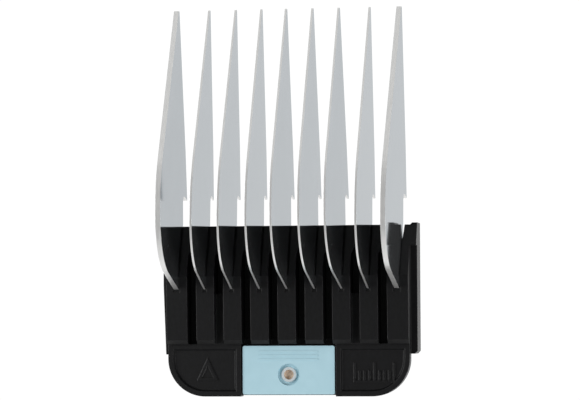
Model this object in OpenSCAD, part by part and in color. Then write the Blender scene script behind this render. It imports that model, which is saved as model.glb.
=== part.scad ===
// Guard comb for a hair clipper, 25 mm cutting length.
// Nine steel tines are moulded on edge into a black nylon body. A thumb plate at the rear pulls
// a sprung steel hook, which catches the rear edge of the clipper's blade.
// The comb lies blade side down: +X is right, +Y runs toward the tips, +Z is the skin side.
// The origin is under the middle of the comb, on the surface that it lies on.
// Inside the modules, Y is counted from the rear edge and Z from the blade seat.

/* [Comb] */
// Length from the rear edge to the tips of the tines, mm
comb_length = 78.3; // [78:0.1:80]
// Half of the width over the ribs, mm
rib_half_width = 24.65; // [24.5:0.05:25]
// Half of the width over the side walls, mm
wall_half_width = 26.0; // [26:0.05:27]
// Depth of the side walls below the blade seat, mm
wall_depth = 4.6; // [4.4:0.1:5]
// Height of the ledge outside the outer ribs, mm
ledge_height = 1.25; // [1.1:0.05:1.5]
// Rear end of the side walls, mm
wall_rear_y = 8.5; // [8.4:0.1:9.5]
// Angle at which the left wall thins toward its rear end, degrees
wall_taper_angle = 2.0; // [0.5:0.1:2.5]

/* [Deck] */
// Front edge of the plastic, mm
deck_front_y = 34.5; // [34:0.1:35]
// Thickness of the plastic at its front edge, mm
deck_front_height = 1.0; // [0.9:0.1:1.4]
// Distance of the crease between ramp and ribs, mm
crease_y = 24.3; // [24:0.1:25]
// Height of the ribs at the crease, mm
crease_height = 5.5; // [5.3:0.1:6]
// Height of the ribs at their rear end, mm
rib_rear_height = 5.0; // [4.8:0.1:5.3]
// Size of the chamfer across the rear end of the ribs, mm
rib_chamfer = 0.8; // [0.5:0.1:1.2]
// Where the ledges step up to the full-width ramp, mm
ledge_front_y = 30.3; // [30:0.1:31]

/* [Grooves] */
// Width of the grooves between the ribs, mm
groove_width = 1.85; // [1.7:0.05:2]
// Height of the groove floors, mm
groove_floor = 1.0; // [0.9:0.1:1.2]
// Front tip of the grooves, mm
groove_tip_y = 31.0; // [30.5:0.1:31.5]
// Height of the raised floors over the springs, mm
raised_floor = 3.5; // [3.4:0.1:3.8]
// Front end of the raised floors, mm
raised_floor_front_y = 19.9; // [19.8:0.1:21]

/* [Tines] */
// Distance between the tines, mm
tine_pitch = 5.55; // [5.5:0.01:5.6]
// How much further out the two outer tines stand, mm
outer_tine_offset = 0.45; // [0.4:0.05:0.6]
// Thickness of the inner tines, mm
inner_tine_thickness = 0.4; // [0.4:0.05:0.7]
// Thickness of the two outer tines, mm
outer_tine_thickness = 1.0; // [0.9:0.05:1.2]
// Height of the skin side of the tines above the blade seat, mm
belly_height = 24.1; // [23.5:0.1:25]
// Height of the tips above the blade seat, mm
tip_height = 3.5; // [3:0.1:4]
// Sideways lean of each tine from left to right, degrees
tine_lean = [0.4, 1.9, 1.5, 1.4, -0.1, -0.3, -1.2, 0.1, -1.4];
// Turn of each tine about the vertical from left to right, degrees
tine_turn = [0, 1, 0.9, 0.5, -0.1, -0.3, -0.5, 0.5, 0.6];

/* [Pads] */
// Front end of the rear pads and of the thumb plate's pocket, mm
pad_depth = 10.6; // [10.5:0.1:10.8]
// Height of the pads' top, mm
pad_top = 3.4; // [3.3:0.1:3.8]
// Height of the pads' underside, mm
pad_bottom = 0.7; // [0.7:0.1:0.9]
// Radius of the two rear corners, mm
pad_corner_r = 7.6; // [7:0.1:8]
// Width of the rim round each pad's panel, mm
pad_rim = 1.0; // [0.8:0.1:1.2]
// Depth of the panels, mm
panel_depth = 0.5; // [0.3:0.1:0.6]
// Height of the raised marks on the panels, mm
mark_height = 0.25; // [0.1:0.05:0.3]

/* [Latch] */
// Width of the thumb plate, mm
thumb_width = 18.8; // [18.6:0.1:19]
// Travel of the latch, mm
latch_travel = 1.8; // [1.5:0.1:1.8]
// Distance of the rivet from the rear edge, mm
rivet_y = 4.4; // [4.3:0.1:4.6]
// Radius of the rivet's shank, mm
rivet_r = 1.25; // [1.2:0.05:1.3]
// Thickness of the hook plate, mm
hook_thickness = 0.6; // [0.5:0.05:0.6]
// How far the hook reaches below the blade seat, mm
hook_reach = 3.0; // [2.5:0.1:3.5]

/* [Springs] */
// Outer diameter of the springs, mm
spring_diameter = 2.0; // [1.9:0.05:2.05]
// Wire diameter of the springs, mm
spring_wire = 0.28; // [0.25:0.01:0.3]
// Turns of each spring
spring_turns = 8; // [6:1:10]

/* [Hidden] */
$fn = 48;

tine_count = 9;
last_tine = tine_count - 1;
// Running gap between the latch and the body
gap = 0.05;
// Overshoot that keeps cutters clear of the faces that they cut through
over = 1;

// Web between the pocket of the thumb plate and the pads' underside
web_top = pad_bottom + 0.95;
pocket_half_width = thumb_width / 2 + 0.25;
boss_r = 1.7;
slot_r = boss_r + gap;
thumb_bottom = web_top + gap;
thumb_top = pad_top - 0.3;
thumb_rear_y = 0.4;
thumb_front_y = 10.2;
thumb_corner_r = 0.4;
counterbore_r = 2.2;
counterbore_depth = 0.7;
rivet_flange_r = 1.5;
rivet_bore_r = 1.0;
rivet_head_r = 1.95;

// The springs lie in channels under the raised floors of the second groove from each side
spring_x = 2.5 * tine_pitch;
channel_width = 2.3;
channel_rear_y = 11.2;
channel_front_y = raised_floor_front_y - 0.1;
channel_top = raised_floor - 0.5;
hook_bottom = gap;
hook_top = hook_bottom + hook_thickness;
prong_width = 2.6;
prong_front_y = channel_front_y - 0.2;
bridge_front_y = 9.8;
bridge_rear_y = 6.4;
tongue_half_width = 5.5;
tongue_rear_y = 1.0;
hook_return = 1.6;
spring_z = (hook_top + channel_top) / 2;

// Where a point of the tine's outline changes direction
nose_angle = 29.6;
nose_r = 22.3;
nose_y = 36.5;
heel_angle = 73;
heel_r = 12;
heel_y = 36.35;
stop_y = 40.0;
root_z = 0.4;

function arc(y, z, r, from, to, steps) =
    [for (i = [0:steps]) let (a = from + (to - from) * i / steps) [y + r * sin(a), z + r * cos(a)]];

// Height of the ramp at a distance from the rear edge
function ramp_at(y) =
    deck_front_height + (crease_height - deck_front_height) * (deck_front_y - y) / (deck_front_y - crease_y);

// Where the straight heel of a tine reaches a height
function heel_at(z) =
    heel_y - heel_r * sin(heel_angle)
    - (belly_height - heel_r + heel_r * cos(heel_angle) - z) / tan(heel_angle);

function is_outer(i) = i == 0 || i == last_tine;
function tine_thickness(i) = is_outer(i) ? outer_tine_thickness : inner_tine_thickness;
function tine_x(i) = (i - last_tine / 2) * tine_pitch
    + (i == 0 ? -outer_tine_offset : i == last_tine ? outer_tine_offset : 0);

module in_place() {
    translate([0, -comb_length / 2, wall_depth]) children();
}

module both_sides() {
    children();
    mirror([1, 0, 0]) children();
}

// An outline drawn in Y and Z, extruded by a width along X and centred on it
module across(width) {
    rotate([90, 0, 90]) linear_extrude(width, center = true) children();
}

module block(x, y, z) {
    translate([x[0], y[0], z[0]]) cube([x[1] - x[0], y[1] - y[0], z[1] - z[0]]);
}

// ---- Tines ----

module tine_outline() {
    polygon(concat(
        [[comb_length, tip_height - 0.3], [comb_length, tip_height + 0.3],
         [comb_length - 0.3, tip_height + 0.5]],
        arc(nose_y, belly_height - nose_r, nose_r, nose_angle, 0, 8),
        arc(heel_y, belly_height - heel_r, heel_r, 0, -heel_angle, 12),
        [[heel_at(root_z), root_z], [deck_front_y - 1, root_z], [deck_front_y + 0.6, root_z - 0.4],
         [stop_y - 0.3, 0], [stop_y + 0.7, -0.6], [stop_y + 0.7, -2.2], [stop_y, -wall_depth],
         [stop_y + 10, -3.0], [comb_length - 0.3, tip_height - 0.5]]
    ));
}

// Puts a child drawn round the middle plane where a tine stands
module in_tine_plane(i) {
    translate([tine_x(i), stop_y, 0]) rotate([0, tine_lean[i], -tine_turn[i]])
        translate([0, -stop_y, 0]) children();
}

module tine(i) {
    in_tine_plane(i) across(tine_thickness(i)) tine_outline();
}

module outer_tine(i) {
    color("silver") in_place() tine(i);
}

module inner_tine(i) {
    color("silver") in_place() tine(i);
}

// ---- Comb body ----

module deck() {
    across(2 * rib_half_width)
        polygon([[pad_depth, 0], [deck_front_y, 0], [deck_front_y, deck_front_height],
                 [crease_y, crease_height], [pad_depth + rib_chamfer, rib_rear_height],
                 [pad_depth, rib_rear_height - rib_chamfer]]);
}

// Ramp in front of the ledges, over the side walls too
module front_ramp() {
    across(2 * wall_half_width)
        polygon([[ledge_front_y, 0], [deck_front_y, 0], [deck_front_y, deck_front_height],
                 [ledge_front_y, ramp_at(ledge_front_y)]]);
}

module side_wall() {
    chamfer = 0.5;
    translate([0, deck_front_y, 0]) rotate([90, 0, 0]) linear_extrude(deck_front_y - wall_rear_y)
        polygon([[rib_half_width, -wall_depth], [wall_half_width - chamfer, -wall_depth],
                 [wall_half_width, chamfer - wall_depth], [wall_half_width, deck_front_height],
                 [rib_half_width - 1, deck_front_height], [rib_half_width - 1, 0], [rib_half_width, 0]]);
    block([rib_half_width - 1, wall_half_width], [wall_rear_y, ledge_front_y + 0.5], [0, ledge_height]);
    wall_nose(chamfer);
}

// Front end of a side wall, which stands a little ahead of the deck
module wall_nose(chamfer) {
    reach = 0.4;
    inner = wall_half_width - 1.4;
    translate([0, 0, -wall_depth + chamfer]) linear_extrude(wall_depth - chamfer + deck_front_height)
        polygon([[inner, deck_front_y - 1], [wall_half_width, deck_front_y - 1],
                 [wall_half_width, deck_front_y + reach], [inner + reach, deck_front_y + reach],
                 [inner, deck_front_y]]);
}

// What the left wall lacks toward its rear end
module wall_taper() {
    front_y = 22.5;
    translate([-wall_half_width, front_y, 0]) rotate([0, 0, wall_taper_angle])
        block([-2, 0], [wall_rear_y - front_y - 2, 0], [-wall_depth - over, ledge_height + over]);
}

// Outer rear corner that is taken off each side wall
module wall_corner() {
    translate([wall_half_width, wall_rear_y, 0]) rotate([0, 0, -45])
        block([-0.4, 0.4], [-over, over], [-wall_depth - over, ledge_height + over]);
}

// Plan of a rear pad, drawn in by an inset on every side
module pad_plan(inset) {
    r = pad_corner_r - inset;
    left = pocket_half_width + inset;
    right = rib_half_width - inset;
    translate([left, inset]) square([right - r - left, pad_depth - 2 * inset]);
    translate([left, inset + r]) square([right - left, pad_depth - 2 * inset - r]);
    intersection() {
        translate([right - r, inset + r]) circle(r);
        translate([left, inset]) square([right - left, r + 0.1]);
    }
}

module pad() {
    translate([0, 0, pad_bottom]) linear_extrude(pad_top - pad_bottom) pad_plan(0);
}

// Sunken panel with a sloping edge
module pad_panel() {
    slope = 0.35;
    hull() {
        translate([0, 0, pad_top - panel_depth]) linear_extrude(0.01) pad_plan(pad_rim + slope);
        translate([0, 0, pad_top]) linear_extrude(over) pad_plan(pad_rim);
    }
}

// Floor under the thumb plate
module pocket_web() {
    block([-pocket_half_width - 1, pocket_half_width + 1], [0.25, pad_depth + 1], [pad_bottom, web_top]);
}

module groove(x) {
    half = groove_width / 2;
    taper_y = groove_tip_y - 2.5;
    translate([x, 0, groove_floor]) linear_extrude(crease_height)
        polygon([[-half, pad_depth - over], [half, pad_depth - over], [half, taper_y],
                 [0, groove_tip_y], [-half, taper_y]]);
}

// Shallow pocket in the rib behind a tine's heel, with a sloping rear face
module heel_pocket(i) {
    y = heel_at(crease_height);
    in_tine_plane(i) across(tine_thickness(i) + 0.5)
        polygon([[y - 1.0, crease_height + 0.1], [y - 0.5, rib_rear_height + 0.1],
                 [y + 0.3, rib_rear_height + 0.1], [y + 0.3, crease_height + 0.1]]);
}

// Fine sink line in the ramp along both sides of a tine
module root_line(i) {
    depth = 0.25;
    end_y = deck_front_y + over;
    in_tine_plane(i) across(tine_thickness(i) + 0.3)
        polygon([[crease_y, crease_height - depth], [end_y, ramp_at(end_y) - depth],
                 [end_y, crease_height], [crease_y, crease_height + depth]]);
}

// Tapered slit through the front lip beside the outer tine
module lip_slit() {
    x = tine_x(last_tine) + outer_tine_thickness / 2;
    width = 0.45;
    translate([0, 0, -over]) linear_extrude(crease_height)
        polygon([[x - 0.2, deck_front_y - 2.8], [x + 0.05, deck_front_y - 2.8],
                 [x + width, deck_front_y + over], [x - 0.2, deck_front_y + over]]);
}

module spring_housing() {
    block([spring_x - 2, spring_x + 2], [pad_depth, raised_floor_front_y + 0.8], [0, raised_floor]);
}

module spring_channel() {
    block([spring_x - channel_width / 2, spring_x + channel_width / 2],
          [channel_rear_y, channel_front_y], [-over, channel_top]);
}

// Relief in the seat for the prongs of the hook plate over their whole travel
module prong_recess() {
    block([spring_x - prong_width / 2 - gap, spring_x + prong_width / 2 + gap],
          [pad_depth - over, channel_front_y], [-over, hook_top + gap]);
}

module rivet_slot() {
    translate([0, 0, pad_bottom - over]) linear_extrude(web_top - pad_bottom + 2 * over) {
        translate([0, rivet_y]) circle(slot_r);
        translate([0, rivet_y - latch_travel]) circle(slot_r);
        translate([-slot_r, rivet_y - latch_travel]) square([2 * slot_r, latch_travel]);
    }
}

// Raised arrow head that points toward the tips
module arrow_mark() {
    translate([-16.6, 5.4, pad_top - panel_depth - 0.1]) linear_extrude(mark_height + 0.1)
        difference() {
            polygon([[-2.2, -2.2], [2.2, -2.2], [0, 2.4]]);
            polygon([[-1.2, -1.6], [1.2, -1.6], [0, 0.9]]);
        }
}

// Raised ruler ticks over a base line, with every fourth one long
module ruler_mark() {
    tick = 0.4;
    translate([13.2, 2.8, pad_top - panel_depth - 0.1]) linear_extrude(mark_height + 0.1) {
        square([8 + tick, tick]);
        for (i = [0:8]) translate([i, 0]) square([tick, i % 4 == 0 ? 4 : 2.4]);
    }
}

module ribbed_deck() {
    difference() {
        union() {
            deck();
            front_ramp();
            both_sides() side_wall();
        }
        for (i = [0:last_tine - 1]) groove((i - (last_tine - 1) / 2) * tine_pitch);
    }
}

module panelled_pad() {
    difference() {
        pad();
        pad_panel();
    }
}

module comb_body() {
    color([0.11, 0.11, 0.12]) in_place() {
        difference() {
            union() {
                ribbed_deck();
                pocket_web();
                both_sides() panelled_pad();
                both_sides() spring_housing();
                arrow_mark();
                ruler_mark();
            }
            both_sides() spring_channel();
            both_sides() prong_recess();
            rivet_slot();
            wall_taper();
            both_sides() wall_corner();
            both_sides() lip_slit();
            for (i = [0:last_tine]) {
                heel_pocket(i);
                root_line(i);
                tine(i);
            }
        }
    }
}

// ---- Latch ----

module thumb_plan() {
    r = thumb_corner_r;
    half = thumb_width / 2;
    translate([-half + r, thumb_rear_y]) square([2 * (half - r), thumb_front_y - thumb_rear_y]);
    translate([-half, thumb_rear_y + r]) square([2 * half, thumb_front_y - thumb_rear_y - 2 * r]);
    for (x = [-half + r, half - r], y = [thumb_rear_y + r, thumb_front_y - r]) translate([x, y]) circle(r);
}

module thumb_plate() {
    ridge = 0.12;
    color([0.62, 0.79, 0.84]) in_place() difference() {
        union() {
            translate([0, 0, thumb_bottom]) linear_extrude(thumb_top - thumb_bottom) thumb_plan();
            translate([0, rivet_y, hook_top]) cylinder(r = boss_r, h = thumb_bottom - hook_top + 0.5);
            for (y = [7.3, 8.1, 8.9]) block([-6, 6], [y, y + 0.3], [thumb_top - 0.2, thumb_top + ridge]);
        }
        translate([0, rivet_y, thumb_top - counterbore_depth]) cylinder(r = counterbore_r, h = over + 1);
        translate([0, rivet_y, -over]) cylinder(r = rivet_r, h = pad_top + 2 * over);
    }
}

module hook_plate() {
    color("lightgray") in_place() difference() {
        union() {
            block([-tongue_half_width, tongue_half_width],
                  [tongue_rear_y, bridge_front_y], [hook_bottom, hook_top]);
            block([-spring_x - prong_width / 2, spring_x + prong_width / 2],
                  [bridge_rear_y, bridge_front_y], [hook_bottom, hook_top]);
            both_sides() hook_prong();
            block([-tongue_half_width, tongue_half_width],
                  [tongue_rear_y, tongue_rear_y + hook_thickness], [-hook_reach, hook_top]);
            block([-tongue_half_width, tongue_half_width],
                  [tongue_rear_y, tongue_rear_y + hook_return], [-hook_reach, hook_thickness - hook_reach]);
        }
        translate([0, rivet_y, hook_bottom - over]) cylinder(r = rivet_r, h = hook_thickness + 2 * over);
        translate([0, rivet_y, 0]) rivet_head();
    }
}

// Flush head of the rivet, let into the hook plate
module rivet_head() {
    translate([0, 0, hook_bottom])
        cylinder(r1 = rivet_head_r, r2 = rivet_r, h = rivet_head_r - rivet_r - 0.2);
}

// One prong, with its end turned up in front of the spring
module hook_prong() {
    block([spring_x - prong_width / 2, spring_x + prong_width / 2],
          [bridge_front_y - 0.5, prong_front_y], [hook_bottom, hook_top]);
    block([spring_x - channel_width / 2 + 0.15, spring_x + channel_width / 2 - 0.15],
          [prong_front_y - hook_thickness, prong_front_y], [hook_bottom, channel_top - 0.1]);
}

// Semi-tubular rivet: flush head below, hollow rolled flange in the counterbore
module latch_rivet() {
    bore_depth = 0.8;
    flange_z = thumb_top - counterbore_depth;
    color("gainsboro") in_place() translate([0, rivet_y, 0]) difference() {
        union() {
            translate([0, 0, hook_bottom]) cylinder(r = rivet_r, h = flange_z - hook_bottom + 0.3);
            rivet_head();
            translate([0, 0, flange_z]) cylinder(r = rivet_flange_r, h = 0.35);
        }
        translate([0, 0, flange_z - bore_depth]) cylinder(r = rivet_bore_r, h = pad_top);
    }
}

// ---- Springs ----

// Points of one ring of the wire, at an angle along the coil that runs in +Y
function wire_ring(angle, y, coil_r, wire_r, sides) =
    [for (k = [0:sides - 1])
        let (b = 360 * k / sides, r = coil_r + wire_r * cos(b))
            [r * cos(angle), y + wire_r * sin(b), r * sin(angle)]];

module coil(length) {
    sides = 6;
    steps_per_turn = 12;
    rings = spring_turns * steps_per_turn;
    wire_r = spring_wire / 2;
    coil_r = spring_diameter / 2 - wire_r;
    pitch = (length - spring_wire) / rings;
    points = [for (i = [0:rings])
        each wire_ring(360 * i / steps_per_turn, wire_r + pitch * i, coil_r, wire_r, sides)];
    walls = [for (i = [0:rings - 1], k = [0:sides - 1])
        let (n = (k + 1) % sides) [i * sides + k, (i + 1) * sides + k, (i + 1) * sides + n, i * sides + n]];
    ends = [[for (k = [0:sides - 1]) k], [for (k = [sides - 1:-1:0]) rings * sides + k]];
    polyhedron(points = points, faces = concat(walls, ends));
}

module spring(x) {
    color("silver") in_place() translate([x, channel_rear_y, spring_z])
        coil(prong_front_y - hook_thickness - channel_rear_y);
}

comb_body();
outer_tine(0);  // outer_tine_left
inner_tine(1);  // inner_tine_1
inner_tine(2);  // inner_tine_2
inner_tine(3);  // inner_tine_3
inner_tine(4);  // inner_tine_4
inner_tine(5);  // inner_tine_5
inner_tine(6);  // inner_tine_6
inner_tine(7);  // inner_tine_7
outer_tine(last_tine);  // outer_tine_right
thumb_plate();
hook_plate();
latch_rivet();
spring(-spring_x);  // spring_left
spring(spring_x);  // spring_right
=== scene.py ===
"""Looks of the clipper guard comb: materials, coil springs, camera, light and floor round the CAD frame."""

import math

import bpy
from mathutils import Matrix, Vector


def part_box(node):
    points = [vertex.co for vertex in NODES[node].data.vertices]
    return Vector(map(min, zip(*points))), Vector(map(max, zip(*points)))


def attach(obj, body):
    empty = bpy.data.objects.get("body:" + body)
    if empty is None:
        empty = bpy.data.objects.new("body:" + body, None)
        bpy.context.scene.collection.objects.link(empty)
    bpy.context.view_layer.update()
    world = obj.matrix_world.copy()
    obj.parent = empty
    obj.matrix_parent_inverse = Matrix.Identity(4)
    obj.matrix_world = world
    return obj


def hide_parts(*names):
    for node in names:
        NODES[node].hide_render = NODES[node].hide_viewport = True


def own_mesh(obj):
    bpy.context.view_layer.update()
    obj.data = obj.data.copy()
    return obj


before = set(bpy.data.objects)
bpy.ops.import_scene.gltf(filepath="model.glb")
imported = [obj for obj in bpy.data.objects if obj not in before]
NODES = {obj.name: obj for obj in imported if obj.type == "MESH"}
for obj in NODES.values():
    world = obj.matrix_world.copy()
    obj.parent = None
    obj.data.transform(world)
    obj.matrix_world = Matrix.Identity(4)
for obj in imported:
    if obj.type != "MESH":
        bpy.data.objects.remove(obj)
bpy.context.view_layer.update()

MM = 0.001
TINES = sorted(n for n in NODES if "tine" in n)
SPRINGS = ("spring_left", "spring_right")

# The coil springs' wire and number of turns
SPRING_WIRE = 0.28 * MM
SPRING_TURNS = 8

# The rivet's bore
RIVET_LOW, RIVET_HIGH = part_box("latch_rivet")
RIVET_CENTRE = (RIVET_LOW + RIVET_HIGH) / 2
RIVET_BORE_R = 1.0 * MM

# Camera: nearly above the comb, a little to its right and behind it
CAMERA_YAW = math.radians(9.17)
CAMERA_PITCH = math.radians(2.28)
CAMERA_ROLL = math.radians(0.294)
CAMERA_DISTANCE = 600 * MM
CAMERA_LENS = 183.9
SENSOR_WIDTH = 36.0
AIM = Vector((0.22, 0.52, 6.14)) * MM

# The table, a little under the comb so that their faces don't coincide
FLOOR_SIZE = 3.0
FLOOR_GAP = 0.5 * MM
FLOOR_GLOW = 1.03


# ---- Node helpers ----

def new_material(name):
    """A material with a Principled shader; returns it with its node tree and the shader."""
    material = bpy.data.materials.new(name)
    material.use_nodes = True
    tree = material.node_tree
    shader = tree.nodes["Principled BSDF"]
    return material, tree, shader


def add(tree, kind, **values):
    """A node of that kind, with its inputs or properties set by name."""
    node = tree.nodes.new(kind)
    for key, value in values.items():
        socket = key.replace("_", " ")
        if socket in node.inputs:
            node.inputs[socket].default_value = value
        else:
            setattr(node, key, value)
    return node


def object_coords(tree, scale=(1, 1, 1)):
    """Object coordinates in metres, stretched by a scale."""
    coords = add(tree, "ShaderNodeTexCoord")
    mapping = add(tree, "ShaderNodeMapping")
    mapping.inputs["Scale"].default_value = scale
    tree.links.new(coords.outputs["Object"], mapping.inputs["Vector"])
    return mapping.outputs["Vector"]


def noise(tree, vector, scale, detail=2.0, roughness=0.5):
    node = add(tree, "ShaderNodeTexNoise", Scale=scale, Detail=detail, Roughness=roughness)
    tree.links.new(vector, node.inputs["Vector"])
    return node.outputs["Fac"]


def ramp(tree, factor, stops):
    """A colour ramp with (position, colour) stops."""
    node = add(tree, "ShaderNodeValToRGB")
    elements = node.color_ramp.elements
    while len(elements) < len(stops):
        elements.new(1.0)
    for element, (position, colour) in zip(elements, stops):
        element.position = position
        element.color = (*colour, 1)
    tree.links.new(factor, node.inputs["Fac"])
    return node.outputs["Color"]


def to_range(tree, factor, low, high):
    node = add(tree, "ShaderNodeMapRange")
    node.inputs["To Min"].default_value = low
    node.inputs["To Max"].default_value = high
    tree.links.new(factor, node.inputs["Value"])
    return node.outputs["Result"]


def bump(tree, shader, height, strength, distance, edge_radius=0.0):
    """Surface relief, over edges that are shaded as if they had that radius."""
    node = add(tree, "ShaderNodeBump", Strength=strength, Distance=distance)
    tree.links.new(height, node.inputs["Height"])
    if edge_radius:
        edge = add(tree, "ShaderNodeBevel", Radius=edge_radius, samples=8)
        tree.links.new(edge.outputs["Normal"], node.inputs["Normal"])
    tree.links.new(node.outputs["Normal"], shader.inputs["Normal"])


# ---- Materials ----

def nylon():
    """Black glass-filled nylon: satin, with a fine spark-eroded grain and faint flow marks."""
    material, tree, shader = new_material("nylon")
    mottle = noise(tree, object_coords(tree, (1, 0.6, 1)), 1500, 4, 0.65)
    grain = noise(tree, object_coords(tree), 4200, 3, 0.65)
    colour = ramp(tree, mottle, [(0.35, (0.0008, 0.0008, 0.0011)), (0.65, (0.0042, 0.0043, 0.0049))])
    tree.links.new(colour, shader.inputs["Base Color"])
    tree.links.new(to_range(tree, mottle, 0.50, 0.36), shader.inputs["Roughness"])
    shader.inputs["Specular IOR Level"].default_value = 0.3
    bump(tree, shader, grain, 0.5, 0.00004, edge_radius=0.22 * MM)
    return material


def tine_steel():
    """Polished stainless sheet, with very fine rolling marks along the tine."""
    material, tree, shader = new_material("tine_steel")
    grain = noise(tree, object_coords(tree, (1, 0.06, 1)), 9000, 2, 0.5)
    cloud = noise(tree, object_coords(tree), 180, 3, 0.5)
    colour = ramp(tree, cloud, [(0.3, (0.530, 0.545, 0.560)), (0.7, (0.550, 0.565, 0.580))])
    tree.links.new(colour, shader.inputs["Base Color"])
    tree.links.new(to_range(tree, cloud, 0.05, 0.09), shader.inputs["Roughness"])
    shader.inputs["Metallic"].default_value = 0.94
    shader.inputs["Specular Tint"].default_value = (0.673, 0.698, 0.715, 1)
    bump(tree, shader, grain, 0.015, 0.000005)
    return material


def edge_steel_painted_highlight():
    """Sheared and tumbled edges of the tines: matter than the faces, with a painted highlight: their colour
    is set brighter and a little warmer than the faces to stand in for the light they catch.
    """
    material, tree, shader = new_material("edge_steel_painted_highlight")
    grain = noise(tree, object_coords(tree, (1, 0.05, 0.05)), 9000, 2, 0.5)
    # Painted highlight: this edge colour is much lighter than the faces' steel, standing in for the lamp
    # light the edges reflect
    colour = ramp(tree, grain, [(0.3, (0.74, 0.74, 0.73)), (0.7, (0.84, 0.84, 0.83))])
    tree.links.new(colour, shader.inputs["Base Color"])
    tree.links.new(to_range(tree, grain, 0.36, 0.46), shader.inputs["Roughness"])
    shader.inputs["Metallic"].default_value = 0.85
    bump(tree, shader, grain, 0.05, 0.000005, edge_radius=0.06 * MM)
    return material


def thumb_plastic():
    """Light-blue moulded plastic, smooth with a faint ripple."""
    material, tree, shader = new_material("thumb_plastic")
    vector = object_coords(tree)
    ripple = noise(tree, vector, 420, 2, 0.5)
    grain = noise(tree, vector, 7000, 2, 0.5)
    colour = ramp(tree, ripple, [(0.3, (0.400, 0.600, 0.675)), (0.7, (0.420, 0.622, 0.698))])
    tree.links.new(colour, shader.inputs["Base Color"])
    tree.links.new(to_range(tree, ripple, 0.3, 0.38), shader.inputs["Roughness"])
    bump(tree, shader, grain, 0.1, 0.00002)
    return material


def hook_steel():
    """Formed spring-steel strip, tumbled."""
    material, tree, shader = new_material("hook_steel")
    grain = noise(tree, object_coords(tree, (0.08, 1, 1)), 6000, 3, 0.5)
    colour = ramp(tree, grain, [(0.3, (0.46, 0.46, 0.45)), (0.7, (0.56, 0.56, 0.55))])
    tree.links.new(colour, shader.inputs["Base Color"])
    tree.links.new(to_range(tree, grain, 0.26, 0.4), shader.inputs["Roughness"])
    shader.inputs["Metallic"].default_value = 1.0
    bump(tree, shader, grain, 0.1, 0.00001)
    return material


def rivet_steel():
    """Plated rivet, satin on its rolled flange."""
    material, tree, shader = new_material("rivet_steel")
    marks = noise(tree, object_coords(tree), 3000, 3, 0.6)
    colour = ramp(tree, marks, [(0.3, (0.60, 0.66, 0.68)), (0.7, (0.74, 0.80, 0.82))])
    tree.links.new(colour, shader.inputs["Base Color"])
    tree.links.new(to_range(tree, marks, 0.28, 0.42), shader.inputs["Roughness"])
    shader.inputs["Metallic"].default_value = 0.35
    return material


def bore_steel():
    """Inside of the hollow rivet: drawn steel, browned by oil."""
    material, tree, shader = new_material("bore_steel")
    marks = noise(tree, object_coords(tree), 1500, 3, 0.6)
    colour = ramp(tree, marks, [(0.3, (0.60, 0.50, 0.42)), (0.7, (0.92, 0.82, 0.70))])
    tree.links.new(colour, shader.inputs["Base Color"])
    tree.links.new(to_range(tree, marks, 0.3, 0.5), shader.inputs["Roughness"])
    shader.inputs["Metallic"].default_value = 0.3
    return material


def spring_steel():
    """Drawn music wire with a light zinc bloom."""
    material, tree, shader = new_material("spring_steel")
    marks = noise(tree, object_coords(tree), 4000, 2, 0.5)
    colour = ramp(tree, marks, [(0.3, (0.42, 0.42, 0.42)), (0.7, (0.55, 0.55, 0.55))])
    tree.links.new(colour, shader.inputs["Base Color"])
    tree.links.new(to_range(tree, marks, 0.22, 0.35), shader.inputs["Roughness"])
    shader.inputs["Metallic"].default_value = 1.0
    return material


def paint(node, *materials):
    """Gives a CAD node its materials, the first on every face."""
    mesh = NODES[node].data
    mesh.materials.clear()
    for material in materials:
        mesh.materials.append(material)


def mark_faces(node, is_second):
    """The node's second material on the faces that the test picks, the first on the rest."""
    for polygon in NODES[node].data.polygons:
        polygon.material_index = 1 if is_second(polygon) else 0


def in_bore(polygon):
    """True for a face of the rivet's bore, its floor included."""
    offset = (polygon.center - RIVET_CENTRE).to_2d()
    return offset.length < RIVET_BORE_R * 1.01 and polygon.center.z > RIVET_LOW.z + 0.1 * MM


def dress_frame():
    paint("comb_body", nylon())
    # The tines' edge faces get a steel with a painted highlight
    faces, edges = tine_steel(), edge_steel_painted_highlight()
    for node in TINES:
        paint(node, faces, edges)
        mark_faces(node, lambda polygon: abs(polygon.normal.x) < 0.9)
    paint("thumb_plate", thumb_plastic())
    paint("hook_plate", hook_steel())
    paint("latch_rivet", rivet_steel(), bore_steel())
    mark_faces("latch_rivet", in_bore)


# ---- Springs ----

def coil_height(turn, turns, wire, length):
    """Height of the wire's centre at a turn, with one closed turn at each end of the coil."""
    closed = 1.0
    open_pitch = (length - wire * (1 + 2 * closed)) / (turns - 2 * closed)
    start = wire / 2
    if turn < closed:
        return start + wire * turn
    if turn > turns - closed:
        return length - wire / 2 - wire * (turns - turn)
    return start + wire * closed + open_pitch * (turn - closed)


def coil_mesh(node, material):
    """Round-wire coil in the place of a CAD spring, closed at both ends."""
    sides, steps = 10, 32
    wire_r = SPRING_WIRE / 2
    low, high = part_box(node)
    centre = (low + high) / 2
    coil_r = (high.x - low.x) / 2 - wire_r
    rings = SPRING_TURNS * steps
    points, faces = [], []
    for i in range(rings + 1):
        turn = i / steps
        around = math.tau * turn
        y = low.y + coil_height(turn, SPRING_TURNS, SPRING_WIRE, high.y - low.y)
        for k in range(sides):
            roll = math.tau * k / sides
            r = coil_r + wire_r * math.cos(roll)
            points.append((
                centre.x + r * math.cos(around),
                y + wire_r * math.sin(roll),
                centre.z + r * math.sin(around),
            ))
    for i in range(rings):
        for k in range(sides):
            a, b = i * sides + k, i * sides + (k + 1) % sides
            faces.append((a, a + sides, b + sides, b))
    faces.append(tuple(range(sides)))
    faces.append(tuple(rings * sides + k for k in reversed(range(sides))))
    mesh = bpy.data.meshes.new(node + "_coil")
    mesh.from_pydata(points, [], faces)
    mesh.polygons.foreach_set("use_smooth", [True] * len(mesh.polygons))
    mesh.materials.append(material)
    return mesh


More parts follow.
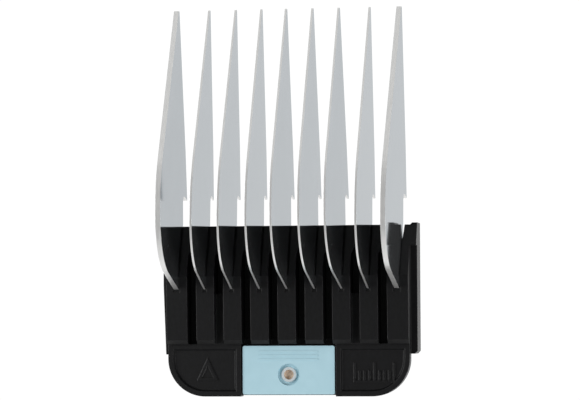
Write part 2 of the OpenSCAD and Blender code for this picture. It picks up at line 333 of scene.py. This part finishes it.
def make_coil(node, material):
    """Coil spring that replaces a CAD spring, parented to the comb body."""
    coil = bpy.data.objects.new(node + "_coil", coil_mesh(node, material))
    bpy.context.scene.collection.objects.link(coil)
    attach(coil, "comb")
    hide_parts(node)
    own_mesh(coil)


def make_springs():
    wire = spring_steel()
    for node in SPRINGS:
        make_coil(node, wire)


# ---- Stage ----

def make_floor():
    """Plain white table under the comb, which is see-through from below."""
    bpy.ops.mesh.primitive_plane_add(size=FLOOR_SIZE, location=(0, 0, -FLOOR_GAP))
    floor = bpy.context.object
    floor.name = "floor"
    material = bpy.data.materials.new("floor_white")
    material.use_nodes = True
    tree = material.node_tree
    tree.nodes.clear()
    out = tree.nodes.new("ShaderNodeOutputMaterial")
    glow = add(tree, "ShaderNodeEmission", Strength=FLOOR_GLOW)
    clear = add(tree, "ShaderNodeBsdfTransparent")
    side = add(tree, "ShaderNodeNewGeometry")
    mix = add(tree, "ShaderNodeMixShader")
    tree.links.new(side.outputs["Backfacing"], mix.inputs["Fac"])
    tree.links.new(glow.outputs["Emission"], mix.inputs[1])
    tree.links.new(clear.outputs["BSDF"], mix.inputs[2])
    tree.links.new(mix.outputs["Shader"], out.inputs["Surface"])
    floor.data.materials.append(material)


def area_light(name, place, size, power):
    """Square lamp that shines on the comb."""
    light = bpy.data.lights.new(name, "AREA")
    light.shape = "RECTANGLE"
    light.size = light.size_y = size
    light.energy = power
    holder = bpy.data.objects.new(name, light)
    bpy.context.scene.collection.objects.link(holder)
    holder.location = place
    holder.rotation_euler = (-Vector(place)).to_track_quat("-Z", "Y").to_euler()


def make_light():
    """A room that is darkest straight above, and a lamp on each side."""
    world = bpy.data.worlds.new("studio")
    bpy.context.scene.world = world
    world.use_nodes = True
    tree = world.node_tree
    direction = add(tree, "ShaderNodeTexCoord")
    parts = add(tree, "ShaderNodeSeparateXYZ")
    tree.links.new(direction.outputs["Generated"], parts.inputs["Vector"])
    greys = [(0.0, 0.3), (0.3, 0.5), (0.62, 0.32), (0.9, 0.09), (1.0, 0.05)]
    colour = ramp(tree, parts.outputs["Z"], [(height, (grey, grey, grey)) for height, grey in greys])
    background = tree.nodes["Background"]
    tree.links.new(colour, background.inputs["Color"])
    background.inputs["Strength"].default_value = 1.7
    area_light("left_lamp", (-0.7, 0.1, 0.55), 0.5, 5.0)
    area_light("right_lamp", (0.6, -0.35, 0.6), 0.4, 3.4)


def make_camera():
    data = bpy.data.cameras.new("camera")
    data.sensor_width = SENSOR_WIDTH
    data.lens = CAMERA_LENS
    data.clip_start, data.clip_end = 0.01, 10
    camera = bpy.data.objects.new("camera", data)
    bpy.context.scene.collection.objects.link(camera)
    turn = (
        Matrix.Rotation(CAMERA_YAW, 3, "Y")
        @ Matrix.Rotation(CAMERA_PITCH, 3, "X")
        @ Matrix.Rotation(-CAMERA_ROLL, 3, "Z")
    )
    camera.matrix_world = Matrix.Translation(AIM + turn @ Vector((0, 0, CAMERA_DISTANCE))) @ turn.to_4x4()
    bpy.context.scene.camera = camera


def set_colour():
    view = bpy.context.scene.view_settings
    view.view_transform = "Standard"
    view.look = "None"


make_camera()
set_colour()
dress_frame()
make_springs()
make_floor()
make_light()
